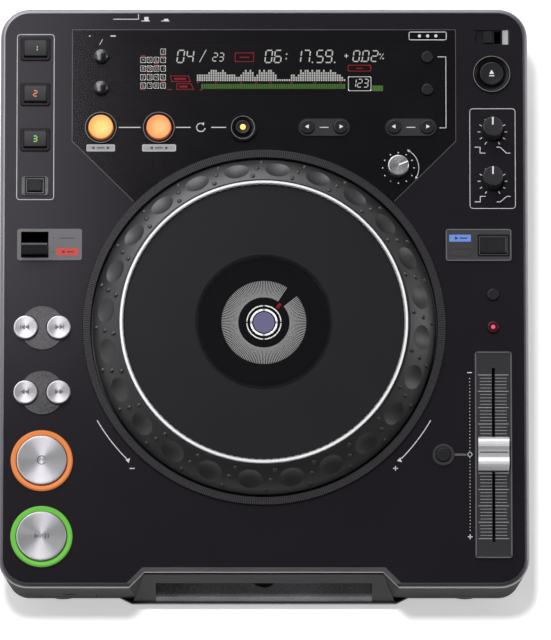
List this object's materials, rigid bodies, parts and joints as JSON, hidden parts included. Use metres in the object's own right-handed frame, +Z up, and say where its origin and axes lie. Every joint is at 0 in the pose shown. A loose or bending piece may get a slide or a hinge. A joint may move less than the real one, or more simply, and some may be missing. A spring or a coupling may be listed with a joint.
{
  "type": "tabletop disc player",
  "caption": "Tabletop DJ disc player with a large dimpled jog wheel, sloping control panel, front loading slot, pitch fader and lit start and cue keys.",
  "frame": {"origin": "centre of the whole deck's footprint box, on the table under the feet", "axes": "+X to the user's right, +Y to the rear connectors, +Z up"},
  "size_m": [0.32, 0.3696, 0.1057],
  "materials": {
    "case_paint": "metallic dark grey paint",
    "base_paint": "satin black paint",
    "panel_black": "satin black",
    "window_black": "polished",
    "board_green": "solder mask",
    "trim_black": "satin",
    "foot_rubber": "matte",
    "jog_black": "satin",
    "bright_metal": "polished",
    "platter_black": "fine matte",
    "cast_grey": "cast",
    "plate_steel": "zinc plated",
    "roller_rubber": "matte",
    "socket_black": "satin",
    "socket_metal": "gold plated",
    "plate_grey": "satin grey",
    "ring_lens": "frosted, lit from below",
    "key_silver": "silver paint",
    "key_black": "satin",
    "key_grey": "satin",
    "key_amber": "translucent, lit",
    "key_orange": "translucent, lit",
    "key_red": "translucent",
    "screw_black": "black zinc"
  },
  "bodies": {
    "deck": {"lower_case": "base_paint", "upper_case": "case_paint", "control_panel": "panel_black", "display_window": "window_black", "control_boards": "board_green", "slot_moulding": "trim_black", "feet": "foot_rubber", "jog_trim_ring": "trim_black", "jog_display": "socket_black", "jog_bearing": "cast_grey", "disc_drive": "plate_steel", "main_boards": "board_green", "power_supply": "board_green", "rear_sockets": "socket_black", "phono_sockets": "socket_metal", "switch_plates": "plate_grey", "key_bezels": "trim_black", "light_rings": "ring_lens", "case_screws": "screw_black"},
    "jog": {"jog_wheel": "jog_black", "jog_ring": "bright_metal", "jog_platter": "platter_black", "jog_window": "window_black"},
    "power_key_body": {"power_key": "key_black"},
    "hot_cue_key_1_body": {"hot_cue_key_1": "key_silver"},
    "hot_cue_key_2_body": {"hot_cue_key_2": "key_silver"},
    "hot_cue_key_3_body": {"hot_cue_key_3": "key_silver"},
    "record_mode_key_body": {"record_mode_key": "key_grey"},
    "time_mode_key_body": {"time_mode_key": "key_black"},
    "text_mode_key_body": {"text_mode_key": "key_black"},
    "loop_in_key_body": {"loop_in_key": "key_amber"},
    "loop_out_key_body": {"loop_out_key": "key_orange"},
    "loop_exit_key_body": {"loop_exit_key": "key_orange"},
    "folder_back_key_body": {"folder_back_key": "key_black"},
    "folder_next_key_body": {"folder_next_key": "key_black"},
    "call_back_key_body": {"call_back_key": "key_black"},
    "call_next_key_body": {"call_next_key": "key_black"},
    "memory_key_body": {"memory_key": "key_black"},
    "delete_key_body": {"delete_key": "key_black"},
    "eject_key_body": {"eject_key": "key_black"},
    "jog_mode_key_body": {"jog_mode_key": "key_grey"},
    "tempo_range_key_body": {"tempo_range_key": "key_black"},
    "master_tempo_key_body": {"master_tempo_key": "key_red"},
    "tempo_reset_key_body": {"tempo_reset_key": "key_black"},
    "track_back_key_body": {"track_back_key": "key_silver"},
    "track_next_key_body": {"track_next_key": "key_silver"},
    "search_back_key_body": {"search_back_key": "key_silver"},
    "search_next_key_body": {"search_next_key": "key_silver"},
    "cue_key_body": {"cue_key": "key_silver"},
    "play_key_body": {"play_key": "key_silver"},
    "jog_adjust_knob_body": {"jog_adjust_knob": "key_silver"},
    "brake_knob_body": {"brake_knob": "key_black"},
    "start_knob_body": {"start_knob": "key_black"},
    "direction_lever_body": {"direction_lever": "key_black"},
    "lock_slider_body": {"lock_slider": "key_black"},
    "tempo_fader_body": {"tempo_fader": "key_silver"},
    "card_door_body": {"card_door": "trim_black"},
    "roller_body": {"loading_roller": "roller_rubber"},
    "turntable_body": {"disc_turntable": "bright_metal"},
    "pickup_body": {"laser_pickup": "trim_black"}
  },
  "joints": [
    {"name": "jog_spin", "type": "hinge", "parent": "deck", "child": "jog", "pos_m": [0, -0.02536, 0.08096], "axis": [0, -0.0698, 0.9976], "continuous": true},
    {"name": "power_key_press", "type": "slide", "parent": "deck", "child": "power_key_body", "axis": [0, 1, 0], "range_m": [-0.0035, 0], "stiffness_N_per_m": 500, "springref_m": 0.002},
    {"name": "hot_cue_key_1_press", "type": "slide", "parent": "deck", "child": "hot_cue_key_1_body", "axis": [0, -0.0698, 0.9976], "range_m": [-0.0015, 0], "stiffness_N_per_m": 400, "springref_m": 0.002},
    {"name": "hot_cue_key_2_press", "type": "slide", "parent": "deck", "child": "hot_cue_key_2_body", "axis": [0, -0.0698, 0.9976], "range_m": [-0.0015, 0], "stiffness_N_per_m": 400, "springref_m": 0.002},
    {"name": "hot_cue_key_3_press", "type": "slide", "parent": "deck", "child": "hot_cue_key_3_body", "axis": [0, -0.0698, 0.9976], "range_m": [-0.0015, 0], "stiffness_N_per_m": 400, "springref_m": 0.002},
    {"name": "record_mode_key_press", "type": "slide", "parent": "deck", "child": "record_mode_key_body", "axis": [0, -0.0698, 0.9976], "range_m": [-0.0015, 0], "stiffness_N_per_m": 400, "springref_m": 0.002},
    {"name": "time_mode_key_press", "type": "slide", "parent": "deck", "child": "time_mode_key_body", "axis": [0, -0.0698, 0.9976], "range_m": [-0.0015, 0], "stiffness_N_per_m": 400, "springref_m": 0.002},
    {"name": "text_mode_key_press", "type": "slide", "parent": "deck", "child": "text_mode_key_body", "axis": [0, -0.0698, 0.9976], "range_m": [-0.0015, 0], "stiffness_N_per_m": 400, "springref_m": 0.002},
    {"name": "loop_in_key_press", "type": "slide", "parent": "deck", "child": "loop_in_key_body", "axis": [0, -0.0698, 0.9976], "range_m": [-0.0015, 0], "stiffness_N_per_m": 400, "springref_m": 0.002},
    {"name": "loop_out_key_press", "type": "slide", "parent": "deck", "child": "loop_out_key_body", "axis": [0, -0.0698, 0.9976], "range_m": [-0.0015, 0], "stiffness_N_per_m": 400, "springref_m": 0.002},
    {"name": "loop_exit_key_press", "type": "slide", "parent": "deck", "child": "loop_exit_key_body", "axis": [0, -0.0698, 0.9976], "range_m": [-0.0015, 0], "stiffness_N_per_m": 400, "springref_m": 0.002},
    {"name": "folder_back_key_press", "type": "slide", "parent": "deck", "child": "folder_back_key_body", "axis": [0, -0.0698, 0.9976], "range_m": [-0.0015, 0], "stiffness_N_per_m": 400, "springref_m": 0.002},
    {"name": "folder_next_key_press", "type": "slide", "parent": "deck", "child": "folder_next_key_body", "axis": [0, -0.0698, 0.9976], "range_m": [-0.0015, 0], "stiffness_N_per_m": 400, "springref_m": 0.002},
    {"name": "call_back_key_press", "type": "slide", "parent": "deck", "child": "call_back_key_body", "axis": [0, -0.0698, 0.9976], "range_m": [-0.0015, 0], "stiffness_N_per_m": 400, "springref_m": 0.002},
    {"name": "call_next_key_press", "type": "slide", "parent": "deck", "child": "call_next_key_body", "axis": [0, -0.0698, 0.9976], "range_m": [-0.0015, 0], "stiffness_N_per_m": 400, "springref_m": 0.002},
    {"name": "memory_key_press", "type": "slide", "parent": "deck", "child": "memory_key_body", "axis": [0, -0.0698, 0.9976], "range_m": [-0.0015, 0], "stiffness_N_per_m": 400, "springref_m": 0.002},
    {"name": "delete_key_press", "type": "slide", "parent": "deck", "child": "delete_key_body", "axis": [0, -0.0698, 0.9976], "range_m": [-0.0015, 0], "stiffness_N_per_m": 400, "springref_m": 0.002},
    {"name": "eject_key_press", "type": "slide", "parent": "deck", "child": "eject_key_body", "axis": [0, -0.0698, 0.9976], "range_m": [-0.0015, 0], "stiffness_N_per_m": 400, "springref_m": 0.002},
    {"name": "jog_mode_key_press", "type": "slide", "parent": "deck", "child": "jog_mode_key_body", "axis": [0, -0.0698, 0.9976], "range_m": [-0.0015, 0], "stiffness_N_per_m": 400, "springref_m": 0.002},
    {"name": "tempo_range_key_press", "type": "slide", "parent": "deck", "child": "tempo_range_key_body", "axis": [0, -0.0698, 0.9976], "range_m": [-0.0015, 0], "stiffness_N_per_m": 400, "springref_m": 0.002},
    {"name": "master_tempo_key_press", "type": "slide", "parent": "deck", "child": "master_tempo_key_body", "axis": [0, -0.0698, 0.9976], "range_m": [-0.0015, 0], "stiffness_N_per_m": 400, "springref_m": 0.002},
    {"name": "tempo_reset_key_press", "type": "slide", "parent": "deck", "child": "tempo_reset_key_body", "axis": [0, -0.0698, 0.9976], "range_m": [-0.0015, 0], "stiffness_N_per_m": 400, "springref_m": 0.002},
    {"name": "track_back_key_press", "type": "slide", "parent": "deck", "child": "track_back_key_body", "axis": [0, -0.0698, 0.9976], "range_m": [-0.0015, 0], "stiffness_N_per_m": 400, "springref_m": 0.002},
    {"name": "track_next_key_press", "type": "slide", "parent": "deck", "child": "track_next_key_body", "axis": [0, -0.0698, 0.9976], "range_m": [-0.0015, 0], "stiffness_N_per_m": 400, "springref_m": 0.002},
    {"name": "search_back_key_press", "type": "slide", "parent": "deck", "child": "search_back_key_body", "axis": [0, -0.0698, 0.9976], "range_m": [-0.0015, 0], "stiffness_N_per_m": 400, "springref_m": 0.002},
    {"name": "search_next_key_press", "type": "slide", "parent": "deck", "child": "search_next_key_body", "axis": [0, -0.0698, 0.9976], "range_m": [-0.0015, 0], "stiffness_N_per_m": 400, "springref_m": 0.002},
    {"name": "cue_key_press", "type": "slide", "parent": "deck", "child": "cue_key_body", "axis": [0, -0.0698, 0.9976], "range_m": [-0.0015, 0], "stiffness_N_per_m": 400, "springref_m": 0.002},
    {"name": "play_key_press", "type": "slide", "parent": "deck", "child": "play_key_body", "axis": [0, -0.0698, 0.9976], "range_m": [-0.0015, 0], "stiffness_N_per_m": 400, "springref_m": 0.002},
    {"name": "jog_adjust_knob_turn", "type": "hinge", "parent": "deck", "child": "jog_adjust_knob_body", "pos_m": [0.0815, 0.0732, 0.08785], "axis": [0, -0.0698, 0.9976], "range_deg": [-150, 150]},
    {"name": "brake_knob_turn", "type": "hinge", "parent": "deck", "child": "brake_knob_body", "pos_m": [0.1386, 0.09554, 0.08942], "axis": [0, -0.0698, 0.9976], "range_deg": [-150, 150]},
    {"name": "start_knob_turn", "type": "hinge", "parent": "deck", "child": "start_knob_body", "pos_m": [0.1386, 0.06492, 0.08727], "axis": [0, -0.0698, 0.9976], "range_deg": [-150, 150]},
    {"name": "direction_lever_flip", "type": "hinge", "parent": "deck", "child": "direction_lever_body", "pos_m": [-0.1388, 0.02614, 0.07554], "axis": [1, 0, 0], "range_deg": [-28, 0]},
    {"name": "lock_slider_move", "type": "slide", "parent": "deck", "child": "lock_slider_body", "axis": [1, 0, 0], "range_m": [0, 0.0045]},
    {"name": "tempo_fader_move", "type": "slide", "parent": "deck", "child": "tempo_fader_body", "axis": [0, 0.9976, 0.0698], "range_m": [-0.05, 0.05]},
    {"name": "card_door_hinge", "type": "hinge", "parent": "deck", "child": "card_door_body", "pos_m": [-0.1178, -0.17623, 0.01736], "axis": [1, 0, 0], "range_deg": [0, 90]},
    {"name": "roller_spin", "type": "hinge", "parent": "deck", "child": "roller_body", "pos_m": [0, -0.14036, 0.04104], "axis": [1, 0, 0], "continuous": true},
    {"name": "turntable_spin", "type": "hinge", "parent": "deck", "child": "turntable_body", "pos_m": [0, -0.08362, 0.04681], "axis": [0, -0.0698, 0.9976], "continuous": true},
    {"name": "pickup_travel", "type": "slide", "parent": "deck", "child": "pickup_body", "axis": [0, 0.9976, 0.0698], "range_m": [0, 0.034]}
  ]
}
